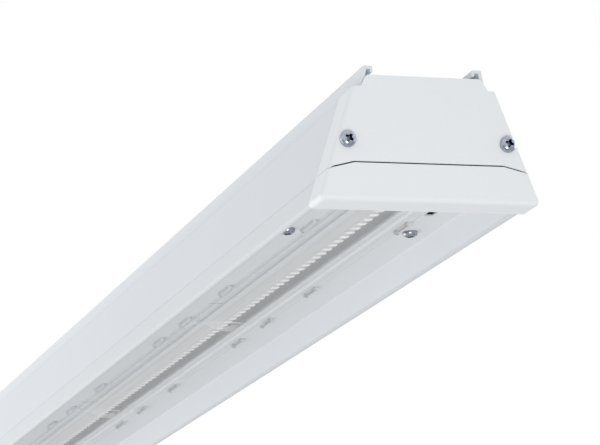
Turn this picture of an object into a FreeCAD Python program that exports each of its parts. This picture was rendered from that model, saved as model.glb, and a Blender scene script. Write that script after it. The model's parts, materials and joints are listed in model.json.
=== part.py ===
import FreeCAD, Part
import math
import os

# A linear LED luminaire that hangs by its rails: an extruded housing, a folded reflector tray with end caps,
# LED boards under clear lenses, and the gear inside.
# Millimetres. X runs across, Y along, Z up. The origin is midway along, level with the tops of the rails.

# Length
module_length = 280.0  # one LED board with its lens
module_count = 4
end_margin = 45.0  # cap face to the first lens

# Housing, an extruded profile with flared sides
rail_height = 11.3  # rail top to ledge
side_height = 37.0  # ledge to seam
flare_angle = 19.3  # degrees from upright
seam_half_width = 46.7  # outer face at the seam
housing_wall = 1.6
ledge_round = 0.6  # inside the corner at the ledge
ledge_width = 3.74  # from the side's top edge in to the rail

# Hooked rails on top of the housing
rail_lean = 1.6
rail_wall = 1.5
rail_round = 0.7
lip_reach = 4.6
lip_thickness = 1.4
lip_return = 1.6  # how far the lip's edge hangs below it
lip_return_wall = 1.2
lip_return_round = 0.4

# Reflector tray, one folded sheet
wing_height = 13.4  # seam to rim
wing_hollow = 1.7  # between its two walls, level
tray_sheet = 0.8
tray_bend = 0.7  # inside radius
seam_gap = 0.2
tongue_depth = 4.0
tongue_clearance = 0.2

# End caps, folded sheet
cap_sheet = 1.0
cap_bend = 1.2  # inside radius
cap_flange = 16.6  # from the face back
cap_clearance = 0.2
cap_touch = 0.05  # left where a bend meets the end of the housing
cap_step = 1.2  # cap above the housing's ledge
cap_round = 1.5
tab_height = 6.6  # above the housing's ledge
tab_overhang = 0.4  # past the rail, at its foot
tab_lean = 3.0
tab_round = 2.0
tab_foot_round = 1.0
split_gap = 0.7  # between upper and lower cap, across the face
flange_gap = 0.2  # between their side flanges
split_rise = 3.2
split_inset = 11.1  # of its corner from the outer face

# End cap screws, in ports of the housing
cap_screw_height = 13.3  # above the seam
cap_screw_radius = 1.9
cap_screw_head_radius = 4.2
cap_screw_head_height = 2.9
cap_screw_length = 16.0
port_wall = 1.4
port_skin = 0.2  # port to outer face
port_slot = 1.0
screw_clearance = 0.2

# Tray screws and the bridges that they thread into
tray_screw_from_end = 112.0
tray_screw_gap = 2.2  # from the lens clips to the heads
tray_screw_radius = 2.0
tray_screw_head_radius = 4.2
tray_screw_head_height = 2.6
tray_screw_spare = 2.0  # past the bridge
bridge_height = 4.4  # seam to its underside
bridge_thickness = 2.0
bridge_width = 30.0
bridge_clearance = 0.2
rib_reach = 3.0
rib_thickness = 1.2

# LED boards
board_width = 18.0
board_thickness = 1.0
board_gap = 0.4  # between neighbours
leds_per_board = 32
led_size = 5.0
led_height = 0.6
led_taper = 0.3

# Lenses
lens_half_width = 22.5
lens_flange = 2.0
lens_gap = 0.4
optic_half_width = 13.2
optic_height = 6.0  # below the tray
lens_air = 0.3  # over the LEDs
groove_half_width = 4.0
groove_depth = 1.0
board_clearance = 0.5  # board in the lens's recess

# Lens clips, on each joint and twice along each lens, with a nib in a groove of the lens's edge
clip_length = 19.0
clip_after_joint = 57.0
clip_before_joint = 80.0
clip_gap = 0.7  # from the lens's edge to the stem
clip_wall = 1.3
clip_clearance = 0.2
clip_barb = 0.5
clip_barb_height = 1.3
nib_height = 1.2
nib_reach = 0.4  # into the lens's edge
edge_groove = 0.6
spare_slot_width = 4.5
spare_slot_length = 8.0
spare_slot_gap = 4.0  # from the lens's edge
spare_slot_inset = 31.0  # from the row's end

# Board connectors, up through the tray, and the flat twin links between boards
connector_width = 5.4
connector_length = 10.0
connector_rise = 5.0  # above the tray
connector_x = 5.8
connector_inset = 14.0  # from the board's end to the connector's middle
connector_clearance = 0.4
twin_width = 3.4
twin_thickness = 1.7
twin_height = 2.2  # of its middle above the tray

# LED driver, held by tongues of its feet in the tray
driver_y = -175.0
driver_width = 30.0
driver_height = 21.0
driver_length = 272.0
driver_edge = 1.5
driver_lift = 2.2  # clear of the lens clips
gear_clearance = 1.1  # to the screw port beside it
foot_length = 14.0
foot_width = 16.0
foot_thickness = 1.2
foot_tongue_width = 8.0
foot_clearance = 0.2
terminal_length = 12.0
terminal_width = 22.0
terminal_height = 12.0
wire_entry = 2.8  # square
wire_entry_depth = 6.0

# Mains terminal block and cable grommet
block_y = 140.0
block_width = 22.0
block_length = 30.0
block_height = 17.0
block_edge = 1.0
block_poles = 3
grommet_hole_radius = 8.0
grommet_flange_radius = 10.5
grommet_flange = 1.8
grommet_clearance = 0.2

# Earth tab on the tray, and the receptacle pushed over its blade
earth_y = 182.0
earth_sheet = 0.8
earth_bend = 0.4  # inside radius
earth_foot = 8.0
earth_blade_width = 6.3
earth_blade_length = 8.0
receptacle_wall = 0.8
receptacle_length = 13.0
receptacle_clearance = 0.1

# Inner wiring
lead_radius = 1.1
lead_bend = 60.0
lead_straight = 20.0  # of the LED lead before and after its slant

tiny = 1e-6  # lengths this close are equal

# Worked out from the sizes above
overall_length = module_count * module_length + 2 * end_margin
end_y = overall_length / 2
flare = math.tan(math.radians(flare_angle))
flare_cos = math.cos(math.radians(flare_angle))
flare_sin = math.sin(math.radians(flare_angle))
ledge_z = -rail_height
seam_z = ledge_z - side_height
rim_z = seam_z - wing_height
tray_top = seam_z + tray_sheet
cap_gap = cap_bend - math.sqrt(cap_bend**2 - (cap_bend - cap_clearance) ** 2) + cap_touch
body_length = overall_length - 2 * (cap_sheet + cap_gap)
cap_bottom_z = rim_z - cap_clearance - cap_sheet
cap_corner = tray_bend + tray_sheet + cap_clearance  # inside
wing_thickness = wing_hollow + 2 * tray_sheet / flare_cos
port_bore = cap_screw_radius + screw_clearance
port_radius = port_bore + port_wall
port_z = seam_z + cap_screw_height
port_x = seam_half_width - flare * cap_screw_height - (port_radius + port_skin) / flare_cos
rail_half_width = seam_half_width - flare * side_height - ledge_width
split_half_width = seam_half_width - split_inset
tab_half_width = rail_half_width + tab_overhang
clip_outer = lens_half_width + clip_gap + clip_wall + clip_barb
tray_screw_spread = clip_outer + tray_screw_gap + tray_screw_head_radius
gear_x = driver_width / 2 + gear_clearance + port_radius - port_x
wire_z = tray_top + driver_lift + terminal_height / 2
twin_z = tray_top + twin_height
lens_recess = board_thickness + led_height + lens_air
row_start = -module_count * module_length / 2
modules = range(module_count)


def side_x(z):
    """Half width of the housing's outer face, and of the wing that carries it on, at a height."""
    return seam_half_width + flare * (seam_z - z)


def inner_x(z):
    """Half width of the housing's inner face at a height."""
    return side_x(z) - housing_wall / flare_cos


def cap_x(z, inset=0.0):
    """Half width of the end caps' outer face at a height, less an inset square to the face."""
    return side_x(z) + (cap_clearance + cap_sheet - inset) / flare_cos


def wall_point(inward, up):
    """A point in from the housing's outer face and up along it, from its edge at the seam."""
    x = seam_half_width - flare_cos * inward - flare_sin * up
    z = seam_z - flare_sin * inward + flare_cos * up
    return (x, z)


def mirrored(points):
    """The same points on the other side, in reverse order."""
    return [(-point[0], *point[1:]) for point in reversed(points)]


def at(x, z, y=0.0):
    return FreeCAD.Vector(x, y, z)


def rounded_path(corners, radii, closed):
    """Edges through the corners, with an arc of its radius at each."""
    count = len(corners)
    starts, ends = list(corners), list(corners)
    arcs = [None] * count
    for i, radius in enumerate(radii):
        if radius <= 0:
            continue
        corner = corners[i]
        back = (corners[i - 1] - corner).normalize()
        ahead = (corners[(i + 1) % count] - corner).normalize()
        half = back.getAngle(ahead) / 2
        starts[i] = corner + back * (radius / math.tan(half))
        ends[i] = corner + ahead * (radius / math.tan(half))
        bisector = (back + ahead).normalize()
        middle = corner + bisector * (radius / math.sin(half) - radius)
        arcs[i] = Part.Arc(starts[i], middle, ends[i]).toShape()
    edges = []
    for i in range(count):
        if arcs[i]:
            edges.append(arcs[i])
        follower = (i + 1) % count
        joined = closed or follower > 0
        if joined and (starts[follower] - ends[i]).Length > tiny:
            edges.append(Part.LineSegment(ends[i], starts[follower]).toShape())
    return edges


def section(points):
    """A closed face in XZ from (x, z) or (x, z, corner radius) points."""
    corners = [at(point[0], point[1]) for point in points]
    radii = [point[2] if len(point) > 2 else 0.0 for point in points]
    return Part.Face(Part.Wire(rounded_path(corners, radii, True)))


def sheet_section(points, thickness, bend):
    """The face of a sheet folded along a line of (x, z) points, with its thickness on the line's left."""
    line = [at(*point) for point in points]
    runs = [(b - a).normalize() for a, b in zip(line, line[1:])]
    lefts = [at(-run.z, run.x) for run in runs]
    offset = [line[0] + lefts[0] * thickness]
    line_radii, offset_radii = [0.0], [0.0]
    for i in range(1, len(line) - 1):
        bisector = (lefts[i - 1] + lefts[i]).normalize()
        offset.append(line[i] + bisector * (thickness / bisector.dot(lefts[i])))
        turns_left = runs[i].dot(lefts[i - 1]) > 0
        line_radii.append(bend + thickness if turns_left else bend)
        offset_radii.append(bend if turns_left else bend + thickness)
    offset.append(line[-1] + lefts[-1] * thickness)
    corners = line + offset[::-1]
    radii = line_radii + [0.0, 0.0] + offset_radii[:0:-1]
    return Part.Face(Part.Wire(rounded_path(corners, radii, True)))


def along(face, length, middle=0.0):
    """A face in XZ extruded along Y, about its middle."""
    solid = face.extrude(FreeCAD.Vector(0, length, 0))
    return solid.translated(FreeCAD.Vector(0, middle - length / 2, 0))


def block(x, y, z, width, length, height):
    """A box with its base centred on a point."""
    corner = FreeCAD.Vector(x - width / 2, y - length / 2, z)
    return Part.makeBox(width, length, height, corner)


def cylinder(x, y, z, radius, height):
    return Part.makeCylinder(radius, height, FreeCAD.Vector(x, y, z))


def across(shape):
    """The shape's mirror image on the other side of the middle."""
    return shape.mirror(FreeCAD.Vector(), FreeCAD.Vector(1, 0, 0))


def turned(shape):
    """The shape at the other end, turned half round."""
    return shape.rotated(FreeCAD.Vector(), FreeCAD.Vector(0, 0, 1), 180)


def fused(shapes):
    return shapes[0].multiFuse(shapes[1:]).removeSplitter()


def housing():
    side = [(side_x(seam_z), seam_z), (side_x(ledge_z), ledge_z)]
    shell = sheet_section(side + mirrored(side), housing_wall, ledge_round)
    half = [rail_section(), tongue_section(), port_section()]
    half += [rib_section(bridge_z() - bridge_clearance - rib_thickness)]
    half += [rib_section(bridge_z() + bridge_thickness + bridge_clearance)]
    profile = [shell] + half + [across(face) for face in half]
    body = fused([along(face, body_length) for face in profile])
    for face in port_bore_sections():
        body = body.cut(along(face, body_length)).cut(along(across(face), body_length))
    return body.cut(cylinder(0, block_y, ledge_z - housing_wall, grommet_hole_radius, housing_wall))


def rail_section():
    top = rail_half_width - rail_lean
    tip = top - lip_reach
    tip_z = -lip_thickness - lip_return
    root_z = ledge_z - housing_wall / 2
    return section([
        (rail_half_width, root_z),
        (rail_half_width, ledge_z),
        (top, 0, rail_round),
        (tip, 0, rail_round),
        (tip, tip_z, lip_return_round),
        (tip + lip_return_wall, tip_z, lip_return_round),
        (tip + lip_return_wall, -lip_thickness),
        (top - rail_wall, -lip_thickness),
        (rail_half_width - rail_wall, ledge_z),
        (rail_half_width - rail_wall, root_z),
    ])


def tongue_section():
    """The strip at the housing's lower edge that goes down between the walls of the tray's wing."""
    hollow = wing_hollow * flare_cos
    outer = tray_sheet + tongue_clearance
    inner = outer + hollow - 2 * tongue_clearance
    root = housing_wall
    return section([
        wall_point(outer, -tongue_depth),
        wall_point(outer, root),
        wall_point(inner, root),
        wall_point(inner, -tongue_depth),
    ])


def disc(centre, radius):
    circle = Part.Circle(centre, FreeCAD.Vector(0, 1, 0), radius)
    return Part.Face(Part.Wire(circle.toShape()))


def port_section():
    return disc(at(port_x, port_z), port_radius)


def port_bore_sections():
    """The bore of a screw port and the slot that opens it to the inside."""
    mouth_x = port_x - port_radius - port_skin
    half = port_slot / 2
    slot = section([
        (mouth_x, port_z - half),
        (port_x, port_z - half),
        (port_x, port_z + half),
        (mouth_x, port_z + half),
    ])
    return disc(at(port_x, port_z), port_bore), slot


def bridge_z():
    return seam_z + bridge_height


def rib_section(z):
    """One of the two ribs inside the side wall that hold the bridges' ends."""
    face_x = inner_x(z)
    root_x = inner_x(z + rib_thickness) + housing_wall / 2
    return section([
        (face_x - rib_reach, z),
        (root_x, z),
        (root_x, z + rib_thickness),
        (face_x - rib_reach, z + rib_thickness),
    ])


def tray_bridge(y):
    half = inner_x(bridge_z() + bridge_thickness) - bridge_clearance
    bridge = block(0, y, bridge_z(), 2 * half, bridge_width, bridge_thickness)
    for sign in (-1, 1):
        hole = tray_screw_radius + screw_clearance
        bridge = bridge.cut(cylinder(sign * tray_screw_spread, y, bridge_z(), hole, bridge_thickness))
    return bridge


def tray_screw_places():
    y = end_y - tray_screw_from_end
    return [(sx * tray_screw_spread, sy * y) for sx in (-1, 1) for sy in (-1, 1)]


def reflector_tray():
    wing = [
        (side_x(seam_z) - wing_thickness, seam_z),
        (side_x(rim_z) - wing_thickness, rim_z),
        (side_x(rim_z), rim_z),
        wall_point(0, -seam_gap),
    ]
    tray = along(sheet_section(mirrored(wing) + wing, tray_sheet, tray_bend), body_length)
    cuts = [
        cylinder(x, y, seam_z, tray_screw_radius + screw_clearance, tray_sheet)
        for x, y in tray_screw_places()
    ]
    for y in connector_places():
        width = connector_width + 2 * connector_clearance
        length = connector_length + 2 * connector_clearance
        cuts.append(block(connector_x, y, seam_z, width, length, tray_sheet))
    for y in clip_places():
        for sign in (-1, 1):
            cuts.append(along(section(clip_slot(sign)), clip_length + 2 * clip_clearance, y))
    spare_x = lens_half_width + spare_slot_gap + spare_slot_width / 2
    spare_y = row_start + spare_slot_inset
    for x, y in ((spare_x, spare_y), (-spare_x, -spare_y)):
        cuts.append(block(x, y, seam_z, spare_slot_width, spare_slot_length, tray_sheet))
    for y in driver_tongue_places():
        room = 2 * foot_clearance
        cuts.append(block(gear_x, y, seam_z, foot_tongue_width + room, foot_thickness + room, tray_sheet))
    return tray.cut(Part.makeCompound(cuts))


def cap_blank(low, high, corner):
    """A sheet cap between two heights: a face with its edges bent back. An inside corner closes it below."""
    bend = cap_bend + cap_sheet
    outer = [(cap_x(high), high), (cap_x(low), low, bend if corner else 0.0)]
    inner = [(cap_x(high, cap_sheet), high)]
    inner_low = low
    if corner:
        inner_low = low + cap_sheet
        half_turn = math.radians(90 + flare_angle) / 2
        flat = corner * math.tan(half_turn / 2) / math.cos(half_turn)
        flat_z = inner_low + flat * flare_cos
        inner += [(cap_x(flat_z, cap_sheet), flat_z), (cap_x(inner_low, cap_sheet) - flat, inner_low)]
    else:
        inner += [(cap_x(low, cap_sheet), low)]
    solid = section(outer + mirrored(outer)).extrude(FreeCAD.Vector(0, cap_flange, 0))
    hollow = section(inner + mirrored(inner)).extrude(FreeCAD.Vector(0, cap_flange, 0))
    solid = bent_edges(solid, bend, low, high, corner)
    hollow = bent_edges(hollow, cap_bend, inner_low, high, corner)
    return solid.cut(hollow.translated(FreeCAD.Vector(0, cap_sheet, 0)))


def bent_edges(solid, radius, low, high, closed_below):
    """Rounds the front edges, apart from the straight ones at the open heights."""
    open_heights = [high] if closed_below else [low, high]
    bends = []
    for edge in solid.Edges:
        front = all(abs(vertex.Y) < tiny for vertex in edge.Vertexes)
        level = [all(abs(vertex.Z - height) < tiny for vertex in edge.Vertexes) for height in open_heights]
        if front and not any(level):
            bends.append(edge)
    return solid.makeFillet(radius, bends)


def split_points(side):
    """Right half of the upper (1) or lower (-1) edge of the gap between the caps, from the outside in."""
    bend = cap_bend + cap_sheet
    flange_z = seam_z + side * flange_gap / 2
    bend_z = seam_z + split_rise * bend / split_inset
    return [
        (cap_x(flange_z), flange_z),
        (cap_x(flange_z, cap_sheet), flange_z),
        (cap_x(seam_z) - bend, bend_z + side * split_gap / 2),
        (split_half_width, seam_z + split_rise + side * split_gap / 2),
    ]


def end_cap():
    """The upper cap at the end of low Y."""
    crown_z = ledge_z + tab_height
    cap_ledge_z = ledge_z + cap_step
    blank = cap_blank(seam_z - split_rise, crown_z + tab_height, 0.0)
    half = split_points(1)[::-1] + [
        (cap_x(cap_ledge_z), cap_ledge_z, cap_round),
        (tab_half_width, cap_ledge_z, tab_foot_round),
        (tab_half_width - tab_lean, crown_z, tab_round),
    ]
    outline = section(half + mirrored(half)).extrude(FreeCAD.Vector(0, cap_flange, 0))
    cap = blank.common(outline)
    for sign in (-1, 1):
        start = FreeCAD.Vector(sign * port_x, 0, port_z)
        cap = cap.cut(Part.makeCylinder(port_bore, cap_sheet, start, FreeCAD.Vector(0, 1, 0)))
    return cap.translated(FreeCAD.Vector(0, -end_y, 0))


def tray_end():
    """The lower cap at the end of low Y."""
    top = seam_z + 2 * split_rise
    blank = cap_blank(cap_bottom_z, top, cap_corner)
    skirt_x = cap_x(cap_bottom_z) + cap_sheet
    half = [
        (skirt_x, cap_bottom_z - cap_sheet),
        (skirt_x, seam_z - flange_gap / 2),
    ] + split_points(-1)
    outline = section(half + mirrored(half)).extrude(FreeCAD.Vector(0, cap_flange, 0))
    return blank.common(outline).translated(FreeCAD.Vector(0, -end_y, 0))


def pan_screw(head_radius, head_height, radius, length):
    """A head on a plain shank, pointing up, with the seat of its head at the origin."""
    profile = section([
        (0, -head_height),
        (head_radius, -head_height),
        (head_radius, 0),
        (radius, 0),
        (radius, length),
        (0, length),
    ])
    return profile.revolve(FreeCAD.Vector(), FreeCAD.Vector(0, 0, 1), 360)


def end_cap_screws():
    """Two screws at each end, pointing along the housing."""
    screw = pan_screw(cap_screw_head_radius, cap_screw_head_height, cap_screw_radius, cap_screw_length)
    screw.rotate(FreeCAD.Vector(), FreeCAD.Vector(1, 0, 0), -90)
    places = [FreeCAD.Vector(sign * port_x, -end_y, port_z) for sign in (-1, 1)]
    near = [screw.translated(place) for place in places]
    return Part.makeCompound(near + [turned(solid) for solid in near])


def tray_screws():
    length = bridge_height + bridge_thickness + tray_screw_spare
    screw = pan_screw(tray_screw_head_radius, tray_screw_head_height, tray_screw_radius, length)
    places = [FreeCAD.Vector(x, y, seam_z) for x, y in tray_screw_places()]
    return Part.makeCompound([screw.translated(place) for place in places])


def module_middle(index):
    return row_start + (index + 0.5) * module_length


def led_board(index):
    z = seam_z - board_thickness
    return block(0, module_middle(index), z, board_width, module_length - board_gap, board_thickness)


def leds(index):
    """The row of LED packages under one board, each narrower towards its window."""
    pitch = module_length / leds_per_board
    first = module_middle(index) - module_length / 2 + pitch / 2
    z = seam_z - board_thickness
    half, tip = led_size / 2, led_size / 2 - led_taper
    package = Part.makeWedge(-half, -led_height, -half, -tip, -tip, half, 0, half, tip, tip)
    package.rotate(FreeCAD.Vector(), FreeCAD.Vector(1, 0, 0), -90)
    drop = package.BoundBox.ZMax
    places = [FreeCAD.Vector(0, first + i * pitch, z - drop) for i in range(leds_per_board)]
    return Part.makeCompound([package.translated(place) for place in places])


def lens(index):
    """A clear strip on the tray with a bowed optic over the LEDs and a recess for the board."""
    recess_x = board_width / 2 + board_clearance
    ceiling = -lens_recess
    groove_z = -lens_flange / 2
    half = [
        (groove_half_width, ceiling),
        (recess_x, ceiling),
        (recess_x, 0),
        (lens_half_width, 0),
        (lens_half_width, groove_z + edge_groove),
        (lens_half_width - edge_groove, groove_z),
        (lens_half_width, groove_z - edge_groove),
        (lens_half_width, -lens_flange),
        (optic_half_width, -lens_flange),
    ]
    right = [at(x, seam_z + z) for x, z in half]
    left = [at(-x, seam_z + z) for x, z in half]
    edges = [Part.LineSegment(a, b).toShape() for a, b in zip(right, right[1:])]
    edges += [Part.Arc(right[-1], at(0, seam_z - optic_height), left[-1]).toShape()]
    edges += [Part.LineSegment(a, b).toShape() for a, b in zip(left[::-1], left[-2::-1])]
    edges += [Part.Arc(left[0], at(0, seam_z + ceiling - groove_depth), right[0]).toShape()]
    return along(Part.Face(Part.Wire(edges)), module_length - lens_gap, module_middle(index))


def clip_places():
    """The clips' middles along Y."""
    starts = [row_start + i * module_length for i in modules]
    places = starts[1:]
    for start in starts:
        places += [start + clip_after_joint, start + module_length - clip_before_joint]
    return places


def clip_stem():
    """The stem's two faces across, beside the lens's edge."""
    start = lens_half_width + clip_gap
    return start, start + clip_wall


def clip_slot(sign):
    """The slot in the tray for a clip's stem."""
    start, end = clip_stem()
    low, high = start - clip_clearance, end + clip_clearance
    points = [(low, seam_z), (high, seam_z), (high, tray_top), (low, tray_top)]
    return points if sign > 0 else mirrored(points)


def lens_clips():
    """Clips level with the lenses, nibbed into their edges and snapped over the tray."""
    start, end = clip_stem()
    low = seam_z - lens_flange
    nib_z = seam_z - lens_flange / 2
    barb_z = tray_top + clip_clearance / 2
    profile = [
        (start, low),
        (clip_outer, low),
        (clip_outer, seam_z),
        (end, seam_z),
        (end, barb_z),
        (clip_outer, barb_z),
        (start, barb_z + clip_barb_height),
        (start, nib_z + nib_height / 2),
        (lens_half_width - nib_reach, nib_z),
        (start, nib_z - nib_height / 2),
    ]
    faces = [section(profile), section(mirrored(profile))]
    return Part.makeCompound([along(face, clip_length, y) for y in clip_places() for face in faces])


def connector_places():
    reach = module_length / 2 - connector_inset
    return [module_middle(i) + sign * reach for i in modules for sign in (-1, 1)]


def board_connectors():
    height = tray_sheet + connector_rise
    return Part.makeCompound([
        block(connector_x, y, seam_z, connector_width, connector_length, height)
        for y in connector_places()
    ])


def board_links():
    """Flat twin links between the connectors at each joint of two boards."""
    length = 2 * connector_inset - connector_length
    low = twin_z - twin_thickness / 2
    return Part.makeCompound([
        block(connector_x, row_start + i * module_length, low, twin_width, length, twin_thickness)
        for i in range(1, module_count)
    ])


def driver_foot_places():
    reach = (driver_length + foot_length) / 2
    return [driver_y - reach, driver_y + reach]


def driver_tongue_places():
    """The tongues' middles along Y, at the outer ends of the feet."""
    reach = driver_length / 2 + foot_length - foot_thickness / 2
    return [driver_y - reach, driver_y + reach]


def driver_case():
    """A closed metal case on two feet that step down to the tray, each with a tongue that goes into it."""
    case = block(gear_x, driver_y, tray_top + driver_lift, driver_width, driver_length, driver_height)
    long_edges = [edge for edge in case.Edges if abs(edge.Length - driver_length) < tiny]
    pieces = [case.makeChamfer(driver_edge, long_edges)]
    for foot_y, tongue_y, sign in zip(driver_foot_places(), driver_tongue_places(), (1, -1)):
        step_y = foot_y + sign * (foot_length + foot_thickness) / 2
        tongue_z = seam_z + foot_clearance
        pieces += [
            block(gear_x, foot_y, tray_top, foot_width, foot_length, foot_thickness),
            block(gear_x, step_y, tray_top, foot_width, foot_thickness, driver_lift),
            block(gear_x, tongue_y, tongue_z, foot_tongue_width, foot_thickness, tray_top - tongue_z),
        ]
    return fused(pieces)


def entry_hole(x, face_y, sign, width, height):
    """A wire entry that goes in from a face towards the side opposite to its sign."""
    y = face_y - sign * wire_entry_depth / 2
    return block(x, y, wire_z - height / 2, width, wire_entry_depth, height)


def driver_terminal(sign):
    """The body of a wire terminal on one end face of the driver."""
    start_y = driver_y + sign * driver_length / 2
    middle_y = start_y + sign * terminal_length / 2
    low = wire_z - terminal_height / 2
    return block(gear_x, middle_y, low, terminal_width, terminal_length, terminal_height)


def driver_face_y(sign):
    return driver_y + sign * (driver_length / 2 + terminal_length)


def driver_input():
    """The mains terminal, with its entries in line with the terminal block's first poles."""
    holes = [entry_hole(pole_x(pole), driver_face_y(1), 1, wire_entry, wire_entry) for pole in (0, 1)]
    return driver_terminal(1).cut(Part.makeCompound(holes))


def driver_output():
    """The terminal of the flat twin lead to the LEDs."""
    room = 2 * connector_clearance
    return driver_terminal(-1).cut(
        entry_hole(gear_x, driver_face_y(-1), -1, twin_width + room, twin_thickness + room))


def pole_x(pole):
    pitch = block_width / block_poles
    return gear_x + (pole - (block_poles - 1) / 2) * pitch


def terminal_block():
    body = block(gear_x, block_y, tray_top, block_width, block_length, block_height)
    upper = [edge for edge in body.Edges if all(v.Z > tray_top + block_height / 2 for v in edge.Vertexes)]
    body = body.makeChamfer(block_edge, upper)
    holes = []
    for pole in range(block_poles):
        for sign in (-1, 1):
            face_y = block_y + sign * block_length / 2
            holes.append(entry_hole(pole_x(pole), face_y, sign, wire_entry, wire_entry))
    return body.cut(Part.makeCompound(holes))


def cable_grommet():
    """A soft closed grommet in the top web, which the installer pierces."""
    neck = grommet_hole_radius - grommet_clearance
    profile = section([
        (0, -housing_wall),
        (neck, -housing_wall),
        (neck, 0),
        (grommet_flange_radius, 0),
        (grommet_flange_radius, grommet_flange),
        (0, grommet_flange),
    ])
    ring = profile.revolve(FreeCAD.Vector(), FreeCAD.Vector(0, 0, 1), 360)
    return ring.translated(FreeCAD.Vector(0, block_y, ledge_z))


def earth_x():
    return pole_x(block_poles - 1)


def earth_tab():
    """A folded tab on the tray, in line with the block's last pole, with an upright blade."""
    face_x = earth_x() + earth_sheet / 2
    fold = [
        (face_x - earth_foot, tray_top),
        (face_x, tray_top),
        (face_x, wire_z + earth_blade_width / 2),
    ]
    return along(sheet_section(fold, earth_sheet, earth_bend), earth_blade_length, earth_y)


def receptacle_back_y():
    return earth_y + earth_blade_length / 2 - receptacle_length


def earth_receptacle():
    """The receptacle at the end of the earth lead, slotted to go over the blade."""
    width = earth_sheet + 2 * receptacle_wall
    height = earth_blade_width + 2 * receptacle_wall
    low = wire_z - height / 2
    middle_y = receptacle_back_y() + receptacle_length / 2
    body = block(earth_x(), middle_y, low, width, receptacle_length, height)
    slot_width = earth_sheet + 2 * receptacle_clearance
    return body.cut(block(earth_x(), earth_y, low, slot_width, earth_blade_length, height))


def straight_lead(x, start_y, stop_y):
    """A round lead along Y at the height of the wire entries."""
    start = FreeCAD.Vector(x, start_y, wire_z)
    return Part.makeCylinder(lead_radius, stop_y - start_y, start, FreeCAD.Vector(0, 1, 0))


def mains_lead(pole):
    """From the driver's input to the terminal block."""
    start_y = driver_face_y(1) - wire_entry_depth
    return straight_lead(pole_x(pole), start_y, block_y - block_length / 2 + wire_entry_depth)


def earth_lead():
    """From the terminal block to the earth receptacle."""
    return straight_lead(earth_x(), block_y + block_length / 2 - wire_entry_depth, receptacle_back_y())


def led_lead():
    """The flat twin lead from the driver's output to the first board, under the bridge."""
    start = FreeCAD.Vector(gear_x, driver_face_y(-1) + wire_entry_depth, wire_z)
    end = FreeCAD.Vector(connector_x, connector_places()[0] + connector_length / 2, twin_z)
    bridge_edge_y = tray_screw_from_end - end_y + bridge_width / 2
    points = [
        start,
        FreeCAD.Vector(start.x, start.y - wire_entry_depth - lead_straight, start.z),
        FreeCAD.Vector(end.x, bridge_edge_y + lead_straight, end.z),
        end,
    ]
    path = Part.Wire(rounded_path(points, [0.0, lead_bend, lead_bend, 0.0], False))
    half, rise = twin_width / 2, twin_thickness / 2
    corners = [(-half, -rise), (half, -rise), (half, rise), (-half, rise), (-half, -rise)]
    outline = Part.makePolygon([start + at(*corner) for corner in corners])
    return path.makePipeShell([outline], True, False)


nodes = {
    "housing": housing(),
    "end_cap_front": end_cap(),
    "end_cap_rear": turned(end_cap()),
    "end_cap_screws": end_cap_screws(),
    "reflector_tray": reflector_tray(),
    "tray_end_front": tray_end(),
    "tray_end_rear": turned(tray_end()),
    "tray_screws": tray_screws(),
    "tray_bridge_front": tray_bridge(tray_screw_from_end - end_y),
    "tray_bridge_rear": tray_bridge(end_y - tray_screw_from_end),
    "lens_clips": lens_clips(),
    "board_connectors": board_connectors(),
    "board_links": board_links(),
    "driver_case": driver_case(),
    "driver_input": driver_input(),
    "driver_output": driver_output(),
    "terminal_block": terminal_block(),
    "cable_grommet": cable_grommet(),
    "earth_tab": earth_tab(),
    "earth_receptacle": earth_receptacle(),
    "lead_live": mains_lead(0),
    "lead_neutral": mains_lead(1),
    "lead_earth": earth_lead(),
    "lead_led": led_lead(),
}
for number in modules:
    nodes[f"led_board_{number + 1}"] = led_board(number)
    nodes[f"leds_{number + 1}"] = leds(number)
    nodes[f"lens_{number + 1}"] = lens(number)

os.makedirs("parts", exist_ok=True)
for name, shape in nodes.items():
    shape.exportStep(f"parts/{name}.step")
    print(name, "valid" if shape.isValid() else "INVALID", len(shape.Solids), round(shape.Volume, 1))
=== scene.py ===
"""Finish of a linear LED luminaire: coats, lenses, LEDs, clips, grommet, screws and a plain stage."""

import json
import math

import bmesh
import bpy
from mathutils import Matrix, Vector


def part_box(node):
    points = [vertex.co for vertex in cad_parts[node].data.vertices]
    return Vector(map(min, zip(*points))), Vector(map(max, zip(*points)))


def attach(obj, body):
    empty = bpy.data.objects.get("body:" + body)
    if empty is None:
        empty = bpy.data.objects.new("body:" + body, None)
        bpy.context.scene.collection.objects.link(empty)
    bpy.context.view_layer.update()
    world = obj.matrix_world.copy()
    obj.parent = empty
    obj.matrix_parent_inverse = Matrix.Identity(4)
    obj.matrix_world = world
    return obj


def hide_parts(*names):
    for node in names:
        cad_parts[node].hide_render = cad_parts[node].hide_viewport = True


bl_info = {
    "name": "Linear luminaire",
    "version": (1, 0, 0),
    "blender": (4, 5, 0),
    "location": "View3D > Sidebar > Luminaire",
    "description": "Builds the visible pieces and finishes of a linear LED luminaire around its frame",
    "category": "Object",
}

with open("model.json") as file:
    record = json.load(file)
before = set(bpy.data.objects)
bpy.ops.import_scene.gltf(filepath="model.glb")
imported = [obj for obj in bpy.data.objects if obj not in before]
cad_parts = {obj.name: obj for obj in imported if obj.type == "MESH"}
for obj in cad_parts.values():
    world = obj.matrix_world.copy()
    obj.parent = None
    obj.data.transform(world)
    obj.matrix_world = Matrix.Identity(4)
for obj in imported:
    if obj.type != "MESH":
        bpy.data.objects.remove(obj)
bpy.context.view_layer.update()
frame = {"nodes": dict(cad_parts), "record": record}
BODY = "root"
MODULES = range(1, 5)
LENS_LOW, LENS_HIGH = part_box("lens_1")
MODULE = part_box("lens_2")[0].y - LENS_LOW.y
LED_LOW, LED_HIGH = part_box("leds_1")
CLIP_LOW, CLIP_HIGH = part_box("lens_clips")
TRAY_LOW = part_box("reflector_tray")[0]

# Distances shorter than this count as nothing. All lengths are in metres.
NEAR = 1e-6

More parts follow.
